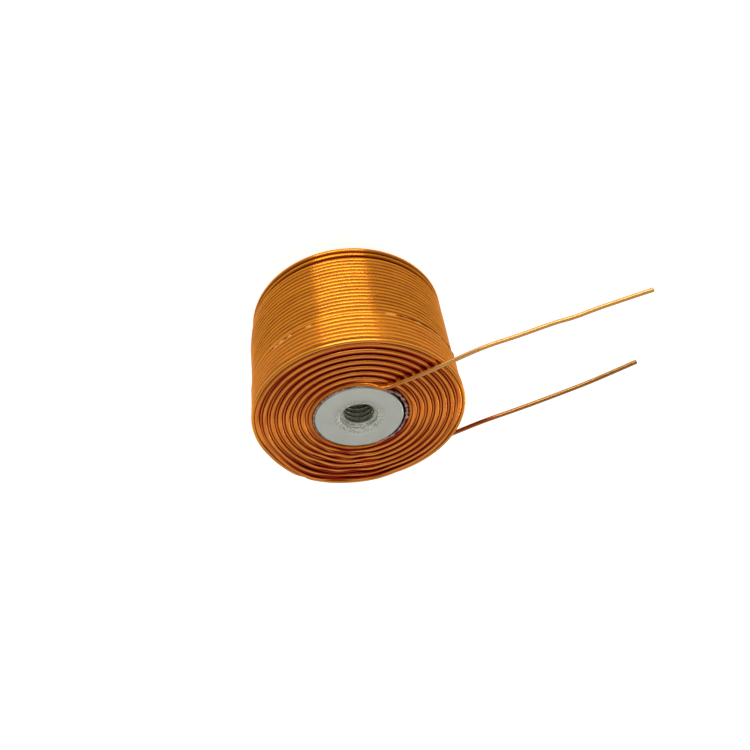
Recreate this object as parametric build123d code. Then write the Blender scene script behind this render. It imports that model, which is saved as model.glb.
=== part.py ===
from build123d import *
import os
from math import cos, floor, radians, sin, tan

# Multilayer coil of enamelled wire on a turned and threaded metal core.
# Millimetres, +Z up. The coil stands on its plain end at z = 0, with its axis on Z.
# Both leads belong to the other end and run along +X.

# Wire and how it lies
wire_od = 0.38                 # over the enamel
turn_pitch = 0.412             # from turn to turn, along the axis
layer_pitch = 0.325            # from layer to layer, outwards
layer_count = 16               # the outermost one is only partly wound
part_layer_turns = 8           # turns of that last layer, next to the lead end
coil_height = 12.0             # over both end faces
groove_depth = 0.12            # open depth of the V between two turns that touch
loose_spacing = 0.61           # between the last two turns at the plain end
loose_gap = 0.30               # least opening between those two and the close turns
loose_gap_depth = 0.32         # depth of that opening, at its middle

# Core, and the sleeve between it and the wire
core_diameter = 7.66
thread_core_diameter = 2.5     # hole drilled for an M3 thread
lead_mouth_diameter = 3.8      # countersink at the lead end
plain_mouth_diameter = 3.2     # countersink at the plain end
mouth_slope = 30.0             # of both countersinks, down from the end faces
core_gap = 0.06                # radial, between core and sleeve
sleeve_wall = 0.095
sleeve_glue = 0.01             # radial, between sleeve and first layer
sleeve_inset = 0.1             # the sleeve ends this far inside both end faces

# Start lead: climbs out of the first layer, bends and crosses the end face
lead_clearance = 0.02          # between that face and the wire that crosses it
hook_angle = 57.0              # place of its first point, round the axis
hook_sink = 0.11               # that point lies this far below the top turn
hook_offset = 0.09             # and this far outwards from the first layer
bend_angle = 35.6              # place of the bend, round the axis
bend_offset = 0.06             # outwards from the first layer
bend_cut = 0.36                # the bend's two corners lie this far from its point
start_run = ((9.18, 0.25), (22.83, -0.86))     # along +X and sideways, from the bend

# Finish lead: leaves one turn of the last layer along its tangent
finish_turn = 5                # counted from the lead end
finish_run = ((18.56, -0.08), (23.20, 0.30))   # along +X and sideways, from there

# Values that follow
wire_radius = wire_od / 2
core_radius = core_diameter / 2
sleeve_inner = core_radius + core_gap
sleeve_outer = sleeve_inner + sleeve_wall
bore_radius = sleeve_outer + sleeve_glue
top_turn = coil_height - wire_radius
loose_turn = wire_radius + loose_spacing
full_layers = layer_count - 1


def layer_radius(layer):
    """Radius of the wire's centre line in a layer, counted from 1 at the bore."""
    return bore_radius + wire_radius + (layer - 1) * layer_pitch


def set_back(layer):
    """Even layers lie in the grooves of the odd ones, so they end half a turn lower."""
    return 0.0 if layer % 2 else turn_pitch / 2


def on_circle(radius, angle, z):
    return Vector(radius * cos(radians(angle)), radius * sin(radians(angle)), z)


def close_turns():
    """Heights of the touching turns of the last full layer, from the lead end down."""
    lowest = loose_turn + wire_od + loose_gap
    count = floor((top_turn - lowest) / turn_pitch) + 1
    return [top_turn - k * turn_pitch for k in range(count)]


def part_turns():
    """Heights of the turns of the partly wound outermost layer."""
    first = top_turn - set_back(layer_count)
    return [first - k * turn_pitch for k in range(part_layer_turns)]


def ridges(crest, heights):
    """Crest of each turn, with the foot of the V groove between neighbours."""
    points = []
    for upper, lower in zip(heights, heights[1:]):
        points += [(crest, upper), (crest - groove_depth, (upper + lower) / 2)]
    return points + [(crest, heights[-1])]


def winding_profile():
    """Half section of the turns, up the bore, outwards over the top and back below."""
    outer_turns = part_turns()
    open_turns = [z for z in close_turns() if z < outer_turns[-1]]
    outer_crest = layer_radius(layer_count) + wire_radius
    full_crest = layer_radius(full_layers) + wire_radius
    bore = [(bore_radius, 0), (bore_radius, top_turn)]
    lead_face = [
        (layer_radius(n), coil_height - set_back(n)) for n in range(1, full_layers + 1)
    ]
    gap = [(full_crest - loose_gap_depth, (open_turns[-1] + loose_turn) / 2)]
    loose = ridges(full_crest, [loose_turn, 0])
    side = ridges(outer_crest, outer_turns) + ridges(full_crest, open_turns) + gap + loose
    return bore + lead_face + side


def turned(points):
    """Solid of revolution about the coil's axis from (radius, height) points."""
    outline = Polyline(*[(radius, 0, z) for radius, z in points], close=True)
    return revolve(make_face(outline), Axis.Z)


def wire(points):
    """Round wire along a line of points, mitred at its bends."""
    path = Polyline(*points)
    section = Plane(origin=path @ 0, z_dir=path % 0) * Circle(wire_radius)
    return sweep(section, path=path, transition=Transition.RIGHT)


def start_lead():
    level = coil_height + lead_clearance + wire_radius
    hook = on_circle(layer_radius(1) + hook_offset, hook_angle, top_turn - hook_sink)
    bend = on_circle(layer_radius(1) + bend_offset, bend_angle, level)
    kink, tip = [bend + Vector(along, aside) for along, aside in start_run]
    corners = [bend + (end - bend).normalized() * bend_cut for end in (hook, kink)]
    return wire([hook, *corners, kink, tip])


def finish_lead():
    leave = on_circle(layer_radius(layer_count), -90, part_turns()[finish_turn - 1])
    return wire([leave] + [leave + Vector(along, aside) for along, aside in finish_run])


def winding():
    """All turns and both leads: one length of wire."""
    return turned(winding_profile()) + start_lead() + finish_lead()


def core_sleeve():
    low, high = sleeve_inset, coil_height - sleeve_inset
    return turned([
        (sleeve_inner, low), (sleeve_outer, low), (sleeve_outer, high), (sleeve_inner, high),
    ])


def core():
    """Turned slug with a through hole, countersunk at both ends."""
    hole = thread_core_diameter / 2
    low_mouth, high_mouth = plain_mouth_diameter / 2, lead_mouth_diameter / 2
    low_depth, high_depth = [
        (mouth - hole) * tan(radians(mouth_slope)) for mouth in (low_mouth, high_mouth)
    ]
    return turned([
        (hole, low_depth), (low_mouth, 0), (core_radius, 0),
        (core_radius, coil_height), (high_mouth, coil_height), (hole, coil_height - high_depth),
    ])


os.makedirs("parts", exist_ok=True)
for make in (winding, core_sleeve, core):
    shape = make()
    print(make.__name__, len(shape.solids()), "solid, volume", round(shape.volume, 3))
    export_step(shape, f"parts/{make.__name__}.step")
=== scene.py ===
from math import asin, cos, degrees, pi, radians, sin
from random import Random

import bmesh
import bpy
import numpy as np
from mathutils import Matrix, Vector


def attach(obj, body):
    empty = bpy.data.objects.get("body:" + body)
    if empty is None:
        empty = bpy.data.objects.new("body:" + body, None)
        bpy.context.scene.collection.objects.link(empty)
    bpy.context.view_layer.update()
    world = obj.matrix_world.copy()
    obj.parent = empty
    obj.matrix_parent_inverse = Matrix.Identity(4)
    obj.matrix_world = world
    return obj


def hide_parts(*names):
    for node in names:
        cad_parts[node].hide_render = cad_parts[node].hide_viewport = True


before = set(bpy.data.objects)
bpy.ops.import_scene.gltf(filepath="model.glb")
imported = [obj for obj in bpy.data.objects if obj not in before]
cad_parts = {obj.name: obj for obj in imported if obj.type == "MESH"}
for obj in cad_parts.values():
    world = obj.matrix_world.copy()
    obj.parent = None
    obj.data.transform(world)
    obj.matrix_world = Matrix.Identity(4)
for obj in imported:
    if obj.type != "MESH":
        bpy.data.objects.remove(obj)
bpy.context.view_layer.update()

# Sizes are in millimetres until an object, a lamp or a shader takes them in metres.
MM = 0.001
rng = Random(7)

# The coil as the CAD has it
WIRE = 0.19                  # radius over the enamel
PITCH = 0.412                # from turn to turn
LAYER = 0.325                # from layer to layer
FIRST = 4.185                # centre line of the first layer
HEIGHT = 12.0
TOP = HEIGHT - WIRE          # centre line of a turn that touches the end face
FULL, PART = 15, 16          # last full layer, partly wound layer
PART_TURNS = 8               # turns of the partly wound layer, next to the lead end
CLOSE_TURNS = 26             # turns of the last full layer that touch; two loose ones lie below
LOOSE_LEVELS = [0.82, 0.218]
LEVEL = 12.21                # centre line of the start lead over the face

# Where the real coil's outer turns lie off their circle, read from the photo's outline. An edge or
# rim is an angle round the axis and a half width, both in degrees.
TRUE_R, OFF_WITHIN = 6.3, 2.4          # turns are true up to here, and fully off this much further
LEFT_EDGE, RIGHT_EDGE = (149, 55), (347, 40)
SIDE_Z = [1.2, 1.7, 2.5, 3.5, 6.5, 8.5, 8.7, 10.0, 11.2, 12.0]
LEFT_OUT = [0.0, -0.08, 0.02, 0.09, 0.08, 0.12, -0.13, -0.12, -0.07, -0.02]
RIGHT_OUT = [0.0, 0.0, 0.02, 0.04, 0.07, 0.07, -0.1, -0.12, 0.03, 0.05]
LOOSE_RIM, LOOSE_IN, LOOSE_TOP = (140, 78), 0.21, 1.9
RIM_ANGLES = [184, 195, 205, 215, 228, 240, 255, 266]
RIM_OUT = [0.0, 0.15, 0.36, 0.48, 0.45, 0.35, 0.24, 0.0]
RIM_START, RIM_RISE = 9.6, 1.8         # the lead end's rim bulges from this height on

# How far a wire drifts from its exact place
DRIFT, FULL_DRIFT, RING_DRIFT = 0.008, 0.009, 0.011


def layer_radius(n):
    return FIRST + (n - 1) * LAYER


# Shader nodes

STREAK_CIRCLE = 1.5          # noise takes each turn as one of this radius, which draws its marks out
CORE_REACH = 4.0             # the core's tones change with the radius up to this one


def node_material(name):
    """An empty node material: the material, its tree and its Principled shader."""
    mat = bpy.data.materials.new(name)
    mat.use_nodes = True
    tree = mat.node_tree
    tree.nodes.clear()
    out = tree.nodes.new("ShaderNodeOutputMaterial")
    shader = tree.nodes.new("ShaderNodeBsdfPrincipled")
    tree.links.new(shader.outputs[0], out.inputs[0])
    return mat, tree, shader


def math_node(tree, kind, operation, *values):
    """A Math node of either kind; each value is a number, a tuple or another node's output."""
    node = tree.nodes.new(kind)
    node.operation = operation
    for socket, value in zip(node.inputs, values):
        if isinstance(value, (float, tuple)):
            socket.default_value = value
        else:
            tree.links.new(value, socket)
    return node


def number_math(tree, operation, *values):
    return math_node(tree, "ShaderNodeMath", operation, *values).outputs[0]


def vector_math(tree, operation, *values):
    return math_node(tree, "ShaderNodeVectorMath", operation, *values).outputs[0]


def object_place(tree):
    """Where a point lies in the coil's own frame, in metres."""
    return tree.nodes.new("ShaderNodeTexCoord").outputs["Object"]


def across_axis(tree):
    """The same place without its height."""
    return vector_math(tree, "MULTIPLY", object_place(tree), (1, 1, 0))


def height_of(tree):
    parts = tree.nodes.new("ShaderNodeSeparateXYZ")
    tree.links.new(object_place(tree), parts.inputs[0])
    return parts.outputs[2]


def distance_from_axis(tree):
    return math_node(tree, "ShaderNodeVectorMath", "LENGTH", across_axis(tree)).outputs["Value"]


def depth_in_face(tree):
    """How far a place lies below the nearer end face, in metres."""
    middle = HEIGHT / 2 * MM
    off_middle = number_math(tree, "ABSOLUTE", number_math(tree, "SUBTRACT", height_of(tree), middle))
    return spread(tree, off_middle, middle, 0.0, (0.0, middle))


def wire_place(tree):
    """Coordinates that run slowly along the turns, so that marks on the wire become streaks."""
    heading = vector_math(tree, "NORMALIZE", across_axis(tree))
    slow = vector_math(tree, "MULTIPLY", heading, (STREAK_CIRCLE * MM,) * 3)
    across = number_math(tree, "ADD", distance_from_axis(tree), height_of(tree))
    lift = tree.nodes.new("ShaderNodeCombineXYZ")
    tree.links.new(across, lift.inputs[2])
    return vector_math(tree, "ADD", slow, lift.outputs[0])


def noise(tree, scale, detail, place=None):
    """Noise over object coordinates, or over another place, scale in cells to the metre."""
    tex = tree.nodes.new("ShaderNodeTexNoise")
    tex.inputs["Scale"].default_value = scale
    tex.inputs["Detail"].default_value = detail
    if place is None:
        place = object_place(tree)
    tree.links.new(place, tex.inputs["Vector"])
    return tex.outputs["Fac"]


def grey(value):
    return (value,) * 3


def ramp(tree, value, stops):
    """Colour ramp with (position, colour) stops, colours linear."""
    node = tree.nodes.new("ShaderNodeValToRGB")
    items = node.color_ramp.elements
    while len(items) < len(stops):
        items.new(0.5)
    for item, (place, colour) in zip(items, stops):
        item.position = place
        item.color = (*colour, 1)
    tree.links.new(value, node.inputs[0])
    return node.outputs[0]


def spread(tree, value, low, high, source=(0.0, 1.0)):
    """Maps a value from one range to another."""
    node = tree.nodes.new("ShaderNodeMapRange")
    node.inputs["From Min"].default_value, node.inputs["From Max"].default_value = source
    node.inputs["To Min"].default_value, node.inputs["To Max"].default_value = low, high
    tree.links.new(value, node.inputs["Value"])
    return node.outputs[0]


def blend_colour(tree, factor, a, b, mode="MIX"):
    """One colour blended into another; each is a linear colour or another node's output."""
    node = tree.nodes.new("ShaderNodeMix")
    node.data_type = "RGBA"
    node.blend_type = mode
    if isinstance(factor, float):
        node.inputs[0].default_value = factor
    else:
        tree.links.new(factor, node.inputs[0])
    colours = [socket for socket in node.inputs if socket.type == "RGBA"]
    for socket, value in zip(colours, (a, b)):
        if isinstance(value, tuple):
            socket.default_value = (*value, 1)
        else:
            tree.links.new(value, socket)
    return [socket for socket in node.outputs if socket.type == "RGBA"][0]


def toned(tree, tone, measure, step):
    """Turns a tone into a step's colour while a measure goes from the step's start to its end."""
    colour, start, end = step
    share = spread(tree, measure, 0.0, 1.0, (start * MM, end * MM))
    return blend_colour(tree, share, tone, colour)


def by_radius(tree, stops):
    """Colour ramp over the distance from the axis, with (radius, colour) stops."""
    outwards = spread(tree, distance_from_axis(tree), 0.0, 1.0, (0.0, CORE_REACH * MM))
    return ramp(tree, outwards, [(radius / CORE_REACH, colour) for radius, colour in stops])


def bump(tree, relief, shader, distance, strength):
    node = tree.nodes.new("ShaderNodeBump")
    node.inputs["Distance"].default_value = distance * MM
    node.inputs["Strength"].default_value = strength
    tree.links.new(relief, node.inputs["Height"])
    tree.links.new(node.outputs[0], shader.inputs["Normal"])


# Materials

def enamel(name, light, deep, edge, rough=(0.24, 0.32), lead=(), painted_depth_tone=None, metal=1.0,
           streak=0.8):
    """Copper under clear orange enamel, streaked along the wire.

    A lead changes tone away from the axis, from (colour, start, end) steps, and turns near an end
    face change tone with their depth below it, from one such step: painted shade deep in the
    face's grooves, or painted light on a turn next to the face."""
    mat, tree, shader = node_material(name)
    place = wire_place(tree)
    tone = ramp(tree, noise(tree, 2200, 3, place), [(0.32, deep), (0.62, light)])
    for step in lead:
        tone = toned(tree, tone, distance_from_axis(tree), step)
    if painted_depth_tone:
        tone = toned(tree, tone, depth_in_face(tree), painted_depth_tone)
    tree.links.new(tone, shader.inputs["Base Color"])
    tree.links.new(spread(tree, noise(tree, 4000, 2, place), *rough), shader.inputs["Roughness"])
    shader.inputs["Metallic"].default_value = metal
    shader.inputs["Specular Tint"].default_value = (*edge, 1)
    shader.inputs["Anisotropic"].default_value = streak
    shader.inputs["Anisotropic Rotation"].default_value = 0.25
    tangent = tree.nodes.new("ShaderNodeTangent")
    tangent.direction_type, tangent.axis = "RADIAL", "Z"
    tree.links.new(tangent.outputs[0], shader.inputs["Tangent"])
    shader.inputs["Coat Weight"].default_value = 0.2
    shader.inputs["Coat Roughness"].default_value = 0.12
    shader.inputs["Coat IOR"].default_value = 1.5
    bump(tree, noise(tree, 5000, 2, place), shader, 0.003, 0.35)
    return mat


def core_finish():
    """Turned steel, speckled in the countersink and at its edge; painted light makes the countersink
    bright and painted shade darkens the thread.
    """
    mat, tree, shader = node_material("core_steel")
    wave = tree.nodes.new("ShaderNodeTexWave")
    wave.wave_type, wave.rings_direction = "RINGS", "Z"
    wave.inputs["Scale"].default_value = 2200
    wave.inputs["Distortion"].default_value = 1.5
    wave.inputs["Detail"].default_value = 2.0
    wave.inputs["Detail Scale"].default_value = 40
    tree.links.new(object_place(tree), wave.inputs["Vector"])
    bump(tree, wave.outputs["Fac"], shader, 0.004, 0.5)
    tone = ramp(tree, noise(tree, 900, 4), [(0.3, (0.55, 0.565, 0.5)), (0.7, (0.595, 0.605, 0.54))])
    # The thread darkened with painted shade, the countersink's two steps lightened with painted light and
    # a painted-shade line between them, the plain face
    painted_light = (1.42, 1.4, 1.42)
    painted_light_and_shade = by_radius(tree, [
        (1.32, (0.6, 0.57, 0.46)), (1.38, painted_light), (1.552, painted_light), (1.592, (0.5, 0.49, 0.47)),
        (1.64, painted_light), (1.84, (1.36, 1.34, 1.34)), (2.12, grey(1.0)),
    ])
    tone = blend_colour(tree, 1.0, tone, painted_light_and_shade, "MULTIPLY")
    specks = ramp(tree, noise(tree, 7000, 4), [(0.36, (0.55, 0.54, 0.52)), (0.56, grey(1.06))])
    speckled_tone = blend_colour(tree, 1.0, tone, specks, "MULTIPLY")
    tone = toned(tree, tone, distance_from_axis(tree), (speckled_tone, 2.32, 2.0))
    tree.links.new(tone, shader.inputs["Base Color"])
    grain = spread(tree, noise(tree, 3500, 3), -0.06, 0.06)
    rough = by_radius(tree, [(1.32, grey(0.2)), (1.4, grey(0.62)), (1.92, grey(0.7)), (2.08, grey(0.42))])
    tree.links.new(number_math(tree, "ADD", grain, rough), shader.inputs["Roughness"])
    shader.inputs["Metallic"].default_value = 1.0
    return mat


def film_finish():
    """Flecked reddish brown film, painted almost black below its edge as shade in the gap there."""
    mat, tree, shader = node_material("sleeve_film")
    fleck = ramp(tree, noise(tree, 3200, 4), [(0.43, (0.26, 0.11, 0.08)), (0.64, (0.72, 0.47, 0.39))])
    # Painted shade: from 0.16 mm below the face the film turns almost black, fully by 0.32 mm.
    tone = toned(tree, fleck, depth_in_face(tree), ((0.02, 0.012, 0.01), 0.16, 0.32))
    tree.links.new(tone, shader.inputs["Base Color"])
    tree.links.new(spread(tree, noise(tree, 1800, 2), 0.4, 0.65), shader.inputs["Roughness"])
    shader.inputs["Specular IOR Level"].default_value = 0.25
    bump(tree, noise(tree, 5000, 4), shader, 0.03, 0.8)
    return mat


def speckled(name, deep, light, tone_scale, rough_scale, rough, metal):
    """Plain stuff, slightly uneven in tone and gloss."""
    mat, tree, shader = node_material(name)
    tone = ramp(tree, noise(tree, tone_scale, 3), [(0.35, deep), (0.7, light)])
    tree.links.new(tone, shader.inputs["Base Color"])
    tree.links.new(spread(tree, noise(tree, rough_scale, 2), *rough), shader.inputs["Roughness"])
    shader.inputs["Metallic"].default_value = metal
    return mat


GOLD = (0.76, 0.49, 0.24)    # what enamel leaves of light that grazes it, on the side
ORANGE = (0.9, 0.3, 0.07)    # the same on the end faces and in the varnish
RED = (0.7, 0.16, 0.015)     # and on the wires painted dark as shade deep in a groove
SIDE = enamel("enamel_side", (0.64, 0.222, 0.009), (0.52, 0.168, 0.006), GOLD)
# The end faces' copy of the enamel is lighter than the side's: painted light for the light the faces
# catch. From 0.1 mm below a face it turns dark red, fully so by 0.16 mm: painted shade in the grooves
# between the rings.
FACE = enamel(
    "enamel_face", (0.84, 0.29, 0.05), (0.7, 0.205, 0.032), ORANGE, (0.24, 0.34),
    painted_depth_tone=((0.33, 0.02, 0.001), 0.1, 0.16), streak=0.4)
# Within 0.25 mm of the lead face, fading out by 0.42 mm, the outer layer's turns are painted a brighter
# gold: painted light.
FINISH = enamel(
    "enamel_finish", (0.66, 0.23, 0.009), (0.56, 0.18, 0.006), GOLD,
    lead=[((0.42, 0.12, 0.025), 9.3, 9.8), ((0.42, 0.19, 0.045), 11.5, 16.0)],
    painted_depth_tone=((0.76, 0.28, 0.03), 0.42, 0.25))
START = enamel(
    "enamel_start", (0.66, 0.19, 0.016), (0.54, 0.135, 0.008), ORANGE,
    lead=[((0.7, 0.35, 0.1), 4.5, 9.0)], metal=0.6)
# The turns under the visible ones are painted dark red: painted shade in the gaps where they show.
BULK = enamel("enamel_deep_painted_shade", (0.5, 0.04, 0.003), (0.4, 0.025, 0.002), RED, (0.3, 0.45))
BOND = enamel(
    "enamel_bond", (0.52, 0.14, 0.009), (0.4, 0.095, 0.005), ORANGE, (0.22, 0.34), metal=0.7)
# Dark enamel for the tube laid in the step under the outer layer's edge: painted shadow.
STEP = enamel("enamel_painted_shadow", (0.36, 0.1, 0.008), (0.26, 0.065, 0.005), RED, (0.45, 0.55))
CORE = core_finish()
FILM = film_finish()
GLUE = speckled("dried_varnish", (0.78, 0.45, 0.13), (0.88, 0.66, 0.33), 3000, 2000, (0.25, 0.5), 0.0)
CUT = speckled("cut_copper", (0.45, 0.24, 0.15), (0.66, 0.42, 0.3), 8000, 9000, (0.3, 0.5), 1.0)


# Mesh work


def piece(name, parts, materials, node="winding", sharp=None):
    """One mesh object out of (vertices, faces) parts, vertices in mm.

    A part may also hold each face's place in the list of materials, and otherwise has the first.
    Edges that turn by sharp degrees or more stay sharp."""
    verts, faces, index = [], [], []
    for part_verts, part_faces, *part_index in parts:
        base = len(verts)
        verts.extend((np.asarray(part_verts) * MM).tolist())
        faces.extend([[base + i for i in face] for face in part_faces])
        index.extend(part_index[0] if part_index else [0] * len(part_faces))
    mesh = bpy.data.meshes.new(name)
    mesh.from_pydata(verts, [], faces)
    for mat in materials:
        mesh.materials.append(mat)
    mesh.polygons.foreach_set("material_index", index)
    # A tube's flat ends are the only faces with more than four corners
    mesh.polygons.foreach_set("use_smooth", [len(face) <= 4 for face in faces])
    mesh.update()
    if sharp:
        work = bmesh.new()
        work.from_mesh(mesh)
        for edge in work.edges:
            edge.smooth = edge.calc_face_angle(0) < radians(sharp)
        work.to_mesh(mesh)
        work.free()
    obj = bpy.data.objects.new(name, mesh)
    bpy.context.scene.collection.objects.link(obj)
    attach(obj, "root")
    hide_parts(node)


def ease(t):
    """From 0 to 1 with a soft start and a soft end."""
    t = min(max(t, 0.0), 1.0)
    return t * t * (3 - 2 * t)


def bell(angle, centre, half_width):
    """1 at an angle round the axis, eased to 0 on both sides of it."""
    return ease(1 - abs((angle - centre + 180) % 360 - 180) / half_width)


def off_round(angle, radius, z):
    """How far out from its circle a turn of the real coil lies."""
    if radius < TRUE_R:
        return 0.0
    left = bell(angle, *LEFT_EDGE) * np.interp(z, SIDE_Z, LEFT_OUT)
    right = bell(angle, *RIGHT_EDGE) * np.interp(z, SIDE_Z, RIGHT_OUT)
    loose_rim = -LOOSE_IN * bell(angle, *LOOSE_RIM) * ease(LOOSE_TOP - z)
    lead_rim = np.interp(angle % 360, RIM_ANGLES, RIM_OUT) * ease((z - RIM_START) / RIM_RISE)
    return (left + right + loose_rim + lead_rim) * ease((radius - TRUE_R) / OFF_WITHIN)


def polar(rows):
    """Points from (angle in degrees, radius, height) rows."""
    placed = [(a, r + off_round(a, r, z), z) for a, r, z in rows]
    return [(r * cos(radians(a)), r * sin(radians(a)), z) for a, r, z in placed]


def along(stops, step=2.5):
    """Rows from (angle, radius, height) stops, eased from one stop to the next."""
    rows = []
    for (a0, r0, z0), (a1, r1, z1) in zip(stops, stops[1:]):
        count = max(1, round(abs(a1 - a0) / step))
        for i in range(count):
            t = i / count
            e = ease(t)
            rows.append((a0 + (a1 - a0) * t, r0 + (r1 - r0) * e, z0 + (z1 - z0) * e))
    return rows + [stops[-1]]


def wander(rows, amount):
    """Small slow drift of a wire from its exact place."""
    waves = [(rng.uniform(0.6, 3.2), rng.uniform(0, 2 * pi), rng.uniform(0, 2 * pi)) for _ in range(4)]
    out = []
    for a, r, z in rows:
        dr = sum(sin(f * radians(a) + p) for f, p, _ in waves) / 4
        dz = sum(sin(f * radians(a) * 1.3 + q) for f, _, q in waves) / 4
        out.append((a, r + amount * dr, z + amount * dz))
    return out


def two_sums(angle, waves, divisor):
    """Two uneven curves round the axis, each a sum of waves (turns to a circle, two phases)."""
    one = sum(sin(f * radians(angle) + p) for f, p, _ in waves) / divisor
    other = sum(sin(f * radians(angle) + q) for f, _, q in waves) / divisor
    return one, other


def smooth(points, rounds):
    """Cuts the corners of a line of points until it is a smooth curve."""
    p = np.asarray(points, float)
    for _ in range(rounds):
        a, b = p[:-1] * 0.75 + p[1:] * 0.25, p[:-1] * 0.25 + p[1:] * 0.75
        p = np.vstack([p[:1], np.stack([a, b], 1).reshape(-1, 3), p[-1:]])
    return p


def tube(points, radius=WIRE, sides=12, tall=1.0):
    """Closed round tube along points.

    The section keeps its top side up, and may be taller or flatter than round. Its radius and its
    height factor may change along the tube."""
    p = np.asarray(points, float)
    t = np.gradient(p, axis=0)
    t /= np.linalg.norm(t, axis=1)[:, None]
    side = np.cross(t, (0, 0, 1))
    side /= np.linalg.norm(side, axis=1)[:, None]
    up = np.cross(side, t)
    a = np.arange(sides) * 2 * pi / sides
    r, tall = [np.broadcast_to(np.asarray(v, float), (len(p),))[:, None, None] for v in (radius, tall)]
    across, upwards = np.cos(a)[None, :, None] * side[:, None], np.sin(a)[None, :, None] * up[:, None]
    ring = p[:, None] + r * (across + tall * upwards)
    faces = []
    for i in range(len(p) - 1):
        for j in range(sides):
            k = (j + 1) % sides
            faces.append((i * sides + j, (i + 1) * sides + j, (i + 1) * sides + k, i * sides + k))
    last = (len(p) - 1) * sides
    faces.append(tuple(range(sides)))
    faces.append(tuple(last + j for j in reversed(range(sides))))
    return ring.reshape(-1, 3), faces


def with_cut_end(mesh, at_start):
    """Gives one end cap of a tube the second material of its piece."""
    verts, faces = mesh
    index = [0] * len(faces)
    index[-2 if at_start else -1] = 1
    return verts, faces, index


def hoop(columns):
    """Closed solid round the axis out of columns of (angle, radius, height) rows.

    Each column is a closed loop that runs upwards on its inside."""
    tall = len(columns[0])
    verts = [point for column in columns for point in polar(column)]
    faces = []
    for i in range(len(columns)):
        k = (i + 1) % len(columns)
        for j in range(tall):
            m = (j + 1) % tall
            faces.append((i * tall + j, k * tall + j, k * tall + m, i * tall + m))
    return verts, faces


def turned(profile, steps=144):
    """Closed solid of revolution from a closed (radius, height) outline, run upwards on its bore."""
    return hoop([[(360 * i / steps, r, z) for r, z in profile] for i in range(steps)])


# Side of the winding

CROSS = (206.0, 224.0)       # where the side's turns step down, on the side away from the leads' ends
TUCK = 10                    # an end of a wire sinks into the winding within this many degrees
FIRST_RISE = 0.06            # the outer layer's first turn lies this much higher
OUTER_INSET = 0.006          # that layer lies this far in, which leaves room for its drift
LEAVE = 4                    # the finish lead leaves this level of it, counted from 0
STRAIGHT = 30                # degrees without drift before it leaves
SNUG = 1.085                 # the side's turns are this much taller than wide, so that they touch
FINISH_ROUTE = [             # along +X and sideways, from where it leaves
    (0, 0), (2.6, 0), (5.73, 0), (8.55, 0.13), (11.97, -0.04), (15.0, -0.08), (18.56, -0.06),
    (21.0, 0.12), (23.2, 0.3),
]

PART_R, FULL_R = layer_radius(PART) - OUTER_INSET, layer_radius(FULL)
part_levels = [TOP - PITCH / 2 - k * PITCH for k in range(PART_TURNS)]
part_levels[0] += FIRST_RISE
full_levels = [TOP - k * PITCH for k in range(PART_TURNS - 1, CLOSE_TURNS)] + LOOSE_LEVELS


def stack(radius, levels, start, finish, dip=0.26):
    """Stops of one wire round and round through the levels, its ends tucked into the winding.

    It starts past the angle where a step begins, so its first one comes a turn later."""
    stops = [(start, radius - dip, levels[0]), (start + TUCK, radius, levels[0])]
    turn = 360
    for here, there in zip(levels, levels[1:]):
        stops += [(CROSS[0] + turn, radius, here), (CROSS[1] + turn, radius, there)]
        turn += 360
    return stops + [(finish - TUCK + turn, radius, levels[-1]), (finish + turn, radius - dip, levels[-1])]


def outer_layer():
    """Comes down from the lead end and leaves along its tangent as the finish lead."""
    level = part_levels[LEAVE]
    leave_turn = 360 * (LEAVE + 1) - 90
    straight = [(leave_turn - STRAIGHT, PART_R, level), (leave_turn, PART_R, level)]
    upper = stack(PART_R, part_levels[:LEAVE + 1], 207, 0, dip=0.3)[:-2]
    rows = wander(along(upper + straight[:1]), DRIFT) + along(straight)[1:]
    leave = np.array((0, -PART_R, level))
    lead = smooth([leave + (x, y, 0) for x, y in FINISH_ROUTE], 3)
    upper_turns = tube(np.vstack([polar(rows[:-1]), lead]), tall=SNUG)
    # The turns from that level down, whose first end tucks in beside the lead
    lower = stack(PART_R, part_levels[LEAVE:], 284, 204)
    lower_turns = tube(polar(wander(along(lower), DRIFT)), tall=SNUG)
    parts = [with_cut_end(upper_turns, at_start=False), lower_turns]
    piece("outer_layer", parts, [FINISH, CUT])


def last_full_layer():
    """Its turns from the outer layer's edge down to the plain end."""
    full = stack(FULL_R, full_levels, 226, 218)
    piece("last_full_layer", [tube(polar(wander(along(full), FULL_DRIFT)), tall=SNUG)], [SIDE])


def turns_under():
    """Short arcs of the same layer, higher up, under the place where the finish lead leaves."""
    arcs = [[(a, FULL_R, TOP - k * PITCH) for a in range(262, 306, 3)] for k in range(2, 7)]
    piece("turns_under_the_outer_layer", [tube(polar(arc)) for arc in arcs], [SIDE])


# Rings on both ends

LEAD_STEP = (1.95, 3.1)      # the lead end's rings step outwards between these distances along Y
PLAIN_STEP = (206, 222)      # and the plain end's between these angles
SUNK_ENDS = 16               # degrees that lie one turn down at both ends of a ring's wire
PLAIN_LIFT = 0.012           # keeps the plain end's rings above the floor while they drift
TOP_BAND, FLUSH_BAND = 0.1, 0.05     # a wire this close under TOP is in the face, or flush with it
RING_WIDE, SLIVER_WIDE = 0.2, 0.155  # half widths of the wire in the face and between its rings

# Places on the lead face, each an angle round the axis and a half width in degrees
LOOSE = (232, 50)            # where its rings are loose
SECOND_UP = (56, 30)         # where the second layer's turn comes up
LAST_DIP = (70, 42)          # where the outermost ring dips, and where it is drawn in
LAST_IN = [(308, 48), (182, 36)]
OUTER_DIP = (264, 52)        # where the outer rings dip


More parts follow.
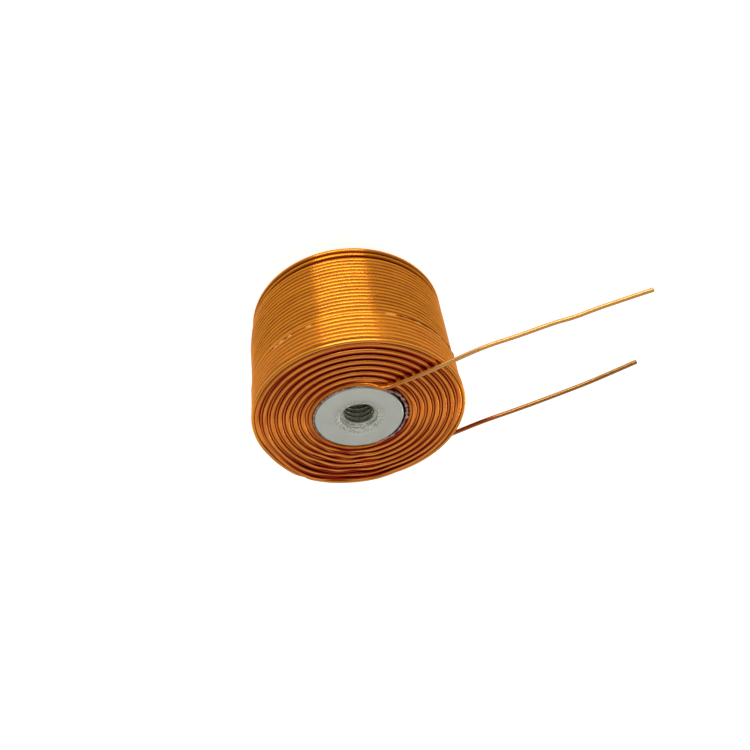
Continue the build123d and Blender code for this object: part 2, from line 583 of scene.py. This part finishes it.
def ring_pair(first, second, z_first, z_second, down, zone):
    """The last turn of one layer, its step across to the next, and that layer's first turn.

    Heights are of the centre lines; down leads to the turns below."""
    r0, r1 = layer_radius(first), layer_radius(second)
    a, b = zone
    stops = [
        (a - SUNK_ENDS, r0, z_first + down), (a, r0, z_first + down), (b, r0, z_first),
        (a + 360, r0, z_first), (b + 360, r1, z_second), (a + 720, r1, z_second),
        (b + 720, r1, z_second + down), (b + (720 + SUNK_ENDS), r1, z_second + down),
    ]
    return wander(along(stops), RING_DRIFT)


def loosen(rows, odd):
    """Lets the rings of the lead face wander where the photo shows uneven gaps between them."""
    waves = [(rng.uniform(6, 17), rng.uniform(0, 2 * pi), rng.uniform(0, 2 * pi)) for _ in range(3)]
    sunk_below, sunk_in_face = rng.uniform(0.02, 0.12), rng.uniform(0.02, 0.12)
    out = []
    for a, r, z in rows:
        here = bell(a, *LOOSE)
        dr, dz = two_sums(a, waves, 3)
        if z > TOP - TOP_BAND:
            lift, sunk = 0.0, sunk_in_face
        else:
            # The even layers' turns come up where the photo shows them as slivers
            lift, sunk = 0.07 * here + 0.105 * sin(radians(a - 69)) ** 2, sunk_below
            if odd == 3:
                lift += 0.12 * bell(a, *SECOND_UP)
        if odd == FULL and z > TOP - FLUSH_BAND:
            lift = -0.06 * bell(a, *LAST_DIP)
            r -= 0.15 * max(bell(a, *place) for place in LAST_IN)
        lift -= sunk * here + (0.06 * bell(a, *OUTER_DIP) if odd > 12 else 0.0)
        out.append((a, r + 0.11 * here * dr, min(z + lift + 0.07 * here * dz, TOP)))
    return out


def lead_face_rings():
    """Flush rings of the odd layers, with the even ones as slivers between them."""
    parts = []
    for odd in range(3, FULL + 1, 2):
        zone = [degrees(asin(aside / layer_radius(odd))) for aside in LEAD_STEP]
        rows = ring_pair(odd - 1, odd, TOP - PITCH / 2, TOP, -PITCH, zone)
        in_face = [odd == 3 or z > TOP - TOP_BAND for _, _, z in rows]
        wide = np.where(in_face, RING_WIDE, SLIVER_WIDE)
        parts.append(tube(polar(loosen(rows, odd)), wide, tall=WIRE / wide))
    piece("lead_face_rings", parts, [FACE])


def plain_face_rings():
    parts = []
    for odd in range(1, FULL - 1, 2):
        rows = ring_pair(odd, odd + 1, WIRE + PLAIN_LIFT, WIRE + PITCH / 2, PITCH, PLAIN_STEP)
        parts.append(tube(polar(rows)))
    piece("plain_face_rings", parts, [FACE])


# Start lead

BEND = (3.452, 2.471, LEVEL)
START_ROUTE = [              # along +X and sideways from the bend, its tip first
    (22.826, -0.86), (20.6, -0.66), (18.39, -0.48), (16.41, -0.46), (14.94, -0.18), (11.91, -0.06),
    (9.18, 0.25), (6.2, 0.08), (3.19, -0.07), (1.3, -0.03), (0.45, 0.0),
]
HOOK = [(39, 4.24, LEVEL), (52, 4.2, TOP + 0.13), (72, FIRST, TOP)]


def start_lead():
    """From its tip over the lead face, round its bend and into the first layer."""
    run = [np.add(BEND, (x, y, 0)) for x, y in START_ROUTE]
    first_turns = along([
        (75, FIRST, TOP), (250, FIRST, TOP), (300, FIRST + 0.02, TOP - 0.3), (377, FIRST, TOP - PITCH),
        (402, FIRST, TOP - 0.16), (414, FIRST, TOP - 0.25), (434, FIRST, TOP - PITCH),
        (700, FIRST, TOP - PITCH), (737, FIRST, TOP - 2 * PITCH), (1097, FIRST, TOP - 2 * PITCH),
    ])
    path = np.vstack([smooth(run + polar(along(HOOK, 4)), 3), polar(wander(first_turns, DRIFT))])
    piece("start_lead", [with_cut_end(tube(path), at_start=True)], [START, CUT])


# Bulk of the winding

FULL_FILL, PART_FILL = 0.085, 0.065  # the varnish lies this far below the crests of the two layers
STEP_FILL = 0.08                     # and this much deeper at the outer layer's edge


def inner_turns():
    """What lies under the visible turns; the heights on its side let it follow off_round."""
    outline = [(4.02, 0.6), (4.02, 10.5), (4.36, 10.7), (4.42, 11.62), (8.5, 11.62)]
    outline += [(8.7, z) for z in (11.4, 10.0, 8.7, 8.5, 3.5, 2.5)]
    outline += [(8.66, 1.6), (8.42, 1.35), (8.42, 0.5), (4.2, 0.42)]
    # Its dark red enamel is painted shade in the gaps between the visible turns.
    piece("inner_turns", [turned(outline)], [BULK])


def bonding_varnish():
    """Half fills the grooves on the side."""
    full_fill, part_fill = FULL_R + WIRE - FULL_FILL, PART_R + WIRE - PART_FILL
    outline = [(8.6, 1.3), (8.6, 11.45)] + [(part_fill, z) for z in (11.45, 10.6, 10.0, 9.3, 8.75)]
    outline += [(part_fill - STEP_FILL, part_levels[-1] - 0.1)]
    outline += [(full_fill, z) for z in (8.6, 8.45, 8.3, 8.15, 8.0, 6.5, 3.5, 2.5, 1.7, 1.3)]
    piece("bonding_varnish", [turned(outline)], [BOND], sharp=40)


# Core

CORE_R, HOLE_R, MOUTH_TOP, MOUTH_LOW, RIM = 3.83, 1.25, 1.9, 1.6, 0.06
OFF_CENTRE, OFF_ANGLE = 0.12, 262    # how far and which way the upper countersink is off centre
SINK_DEPTH = [0.0, 0.2, 0.23, 0.5, 0.8]        # that countersink's depths, in two steps
SINK_R = [1.63, 1.58, 1.34, 1.0]               # and its radii below the mouth
THREAD_PITCH, ROOT_R, ROOT_FLAT = 0.5, 1.5, 0.031
FLANK = 1.732                        # slope of the thread's flanks and of the lower countersink
COLUMNS, ROWS_UP = 96, 360


def mouth_radius(angle):
    return MOUTH_TOP + OFF_CENTRE * cos(radians(angle - OFF_ANGLE))


def bore_radius(angle, z):
    """Radius of the threaded hole: the thread, and the countersinks that cut it."""
    place = (z / THREAD_PITCH - angle / 360) % 1
    off = abs(place - 0.5) * THREAD_PITCH
    thread = min(max(ROOT_R - FLANK * max(0.0, off - ROOT_FLAT), HOLE_R), ROOT_R)
    mouth = np.interp(HEIGHT - z, SINK_DEPTH, [mouth_radius(angle)] + SINK_R)
    return max(thread, mouth, MOUTH_LOW - FLANK * z)


def core_column(angle):
    """Up the bore, over the burr round its mouth, out over the face and down the outside."""
    heights = [HEIGHT * j / ROWS_UP for j in range(ROWS_UP + 1)]
    edge = mouth_radius(angle)
    column = [(bore_radius(angle, z), z) for z in heights]
    column += [(edge + 0.03, HEIGHT + 0.012), (edge + 0.07, HEIGHT - 0.012), (edge + 0.12, HEIGHT)]
    column += [(2.5, HEIGHT), (3.1, HEIGHT), (CORE_R - RIM, HEIGHT), (CORE_R, HEIGHT - RIM)]
    column += [(CORE_R, RIM), (CORE_R - RIM, 0), (2.6, 0)]
    return [(angle, r, z) for r, z in column]


def threaded_core():
    columns = [core_column(360 * i / COLUMNS) for i in range(COLUMNS)]
    piece("threaded_core", [hoop(columns)], [CORE], "core", sharp=28)


# Sleeve

FILM_IN, FILM_OUT = 3.89, 3.985      # radii of its two faces
FILM_TOP = 11.96                     # height of its edge, before the tears
FILM_LOW = (228, 55)                 # place and half width of the lowest stretch of that edge
FILM_ROWS = [0.12, 4.0, 8.0, 10.9, 11.2, 11.4, 11.55, 11.7, 11.8]
FILM_STEPS = 300


def film_column(angle, waves):
    """Up the film's inside and down its outside; its torn edge opens where the first turn sinks."""
    open_here = ease((angle - 272) / 25) if angle > 180 else ease((26 - angle) / 14)
    ragged, ripple = two_sums(angle, waves, 5)
    tears = 0.03 * ragged * (0.3 + 1.5 * open_here)
    edge = FILM_TOP - 0.07 * open_here + tears - 0.2 * bell(angle, *FILM_LOW)
    inside, outside = [], []
    for z in FILM_ROWS + [edge]:
        lift = ease((z - 11.1) / 0.6) * open_here
        curl = -0.03 * ease((z - 11.5) / 0.3) * (1 - open_here)
        inside.append((angle, FILM_IN + curl + lift * (0.17 + 0.05 * ripple), z))
        outside.append((angle, FILM_OUT + lift * (0.25 + 0.07 * ragged), z))
    return inside + outside[::-1]


def sleeve():
    waves = [(rng.randint(3, 60), rng.uniform(0, 2 * pi), rng.uniform(0, 2 * pi)) for _ in range(14)]
    columns = [film_column(360 * i / FILM_STEPS, waves) for i in range(FILM_STEPS)]
    piece("sleeve", [hoop(columns)], [FILM], "core_sleeve", sharp=60)


# Small things along the outer layer's last turn

SPOTS = [                    # angles of both ends, distance out and up, thickness, seed
    (9, 33, 0.155, -0.04, 0.055, 1),
    (42, 49, 0.12, -0.16, 0.075, 2),
    (86, 95, 0.07, 0.19, 0.11, 3),
    (98, 113, 0.06, 0.19, 0.16, 4),
]
# Painted shadow: a dark tube laid in the step below that turn, given like the spots.
SHADOW_SEAM = (-12, 50, 0.15, -0.24, 0.095, 5)
SHADOW_SEAM_SLANT = -0.055


def bead(start, end, out, up, thick, seed, slant=0.0):
    """Thread of uneven thickness, out and up from that turn.

    From its start to its end it moves outwards by slant."""
    own = Random(seed)
    waves = [(own.uniform(8, 60), own.uniform(0, 2 * pi)) for _ in range(6)]
    points, thickness = [], []
    count = max(8, int((end - start) / 1.2))
    for i in range(count + 1):
        t = i / count
        angle = start + (end - start) * t
        a = radians(angle)
        uneven = 0.62 + 0.38 * sum(sin(f * a + p) for f, p in waves) / 3
        r = PART_R + off_round(angle, PART_R, part_levels[-1]) + out + slant * t
        points.append((r * cos(a), r * sin(a), part_levels[-1] + up))
        thickness.append(thick * max(0.12, uneven) * min(1.0, 6 * t + 0.1, 6 * (1 - t) + 0.1))
    return tube(points, thickness, 8)


def painted_shadow_under():
    """Painted shadow: a dark tube in the step below that turn, where there is only shade."""
    piece("painted_shadow_under_the_outer_layer", [bead(*SHADOW_SEAM, slant=SHADOW_SEAM_SLANT)], [STEP])


def dried_varnish():
    piece("dried_varnish", [bead(*spot) for spot in SPOTS], [GLUE])


# All pieces, in the order of their random draws
outer_layer()
last_full_layer()
turns_under()
lead_face_rings()
plain_face_rings()
start_lead()
inner_turns()
bonding_varnish()
threaded_core()
sleeve()
painted_shadow_under()
dried_varnish()


# Floor

FLOOR_R, FLOOR_DROP, FLOOR_SIDES = 1500, 0.01, 72


def floor_paper():
    """Pale paper, white to the camera and in reflections, that still takes the shadow."""
    mat, tree, shader = node_material("floor_paper")
    tone = ramp(tree, noise(tree, 30, 2), [(0.3, grey(0.93)), (0.7, grey(0.95))])
    tree.links.new(tone, shader.inputs["Base Color"])
    shader.inputs["Roughness"].default_value = 0.25
    ray = tree.nodes.new("ShaderNodeLightPath").outputs
    mirrored = number_math(tree, "MAXIMUM", ray["Is Glossy Ray"], ray["Is Transmission Ray"])
    seen = number_math(tree, "MAXIMUM", ray["Is Camera Ray"], mirrored)
    shader.inputs["Emission Color"].default_value = (1, 1, 1, 1)
    tree.links.new(spread(tree, seen, 0.0, 0.7), shader.inputs["Emission Strength"])
    return mat


floor_angles = [radians(360 / FLOOR_SIDES * i) for i in range(FLOOR_SIDES)]
floor_corners = [(FLOOR_R * cos(a) * MM, FLOOR_R * sin(a) * MM, -FLOOR_DROP * MM) for a in floor_angles]
floor_mesh = bpy.data.meshes.new("floor")
floor_mesh.from_pydata(floor_corners, [], [list(range(FLOOR_SIDES))])
floor_mesh.materials.append(floor_paper())
floor = bpy.data.objects.new("floor", floor_mesh)
bpy.context.scene.collection.objects.link(floor)


# Light

world = bpy.data.worlds.new("studio")
bpy.context.scene.world = world
world.use_nodes = True
background = world.node_tree.nodes["Background"]
background.inputs["Color"].default_value = (1.0, 0.995, 0.985, 1)
background.inputs["Strength"].default_value = 0.3


def softbox(name, azimuth, elevation, distance, width, height, radiance):
    """Rectangular lamp that faces the coil, its azimuth counted from +X."""
    a, e = radians(azimuth), radians(elevation)
    away = Vector((cos(a) * cos(e), sin(a) * cos(e), sin(e)))
    wide, high = width * MM, height * MM
    data = bpy.data.lights.new(name, "AREA")
    data.shape = "RECTANGLE"
    data.size, data.size_y = wide, high
    data.energy = radiance * pi * wide * high
    lamp = bpy.data.objects.new(name, data)
    lamp.location = away * (distance * MM) + Vector((0, 0, HEIGHT / 2 * MM))
    lamp.rotation_mode = "QUATERNION"
    lamp.rotation_quaternion = away.to_track_quat("Z", "Y")
    lamp.visible_camera = False
    bpy.context.scene.collection.objects.link(lamp)


softbox("key", 68.5, 6, 300, 280, 90, 8.0)
softbox("overhead", 249, 66, 400, 500, 440, 0.58)
softbox("wing_left", 203, 14, 400, 240, 200, 0.85)
softbox("wing_right", 295, 14, 400, 240, 200, 0.4)
softbox("low_right", 291, 5, 400, 160, 60, 6.5)


# Camera, fitted to the photo

CAMERA_PLACE = (21.9193, 58.0277, 63.7181)
AZIMUTH, ELEVATION, ROLL = 71.0627, 42.2618, 171.0254    # which way it looks from, and its roll
LENS, SENSOR = 45.151, 36

camera = bpy.data.objects.new("camera", bpy.data.cameras.new("camera"))
facing = Matrix.Rotation(radians(AZIMUTH + 90), 4, "Z") @ Matrix.Rotation(radians(90 - ELEVATION), 4, "X")
place = Matrix.Translation(Vector(CAMERA_PLACE) * MM)
camera.matrix_world = place @ facing @ Matrix.Rotation(radians(ROLL), 4, "Z")
camera.data.lens, camera.data.sensor_width = LENS, SENSOR
camera.data.clip_start, camera.data.clip_end = 0.002, 20
bpy.context.scene.collection.objects.link(camera)
bpy.context.scene.camera = camera
bpy.context.scene.view_settings.view_transform = "Standard"
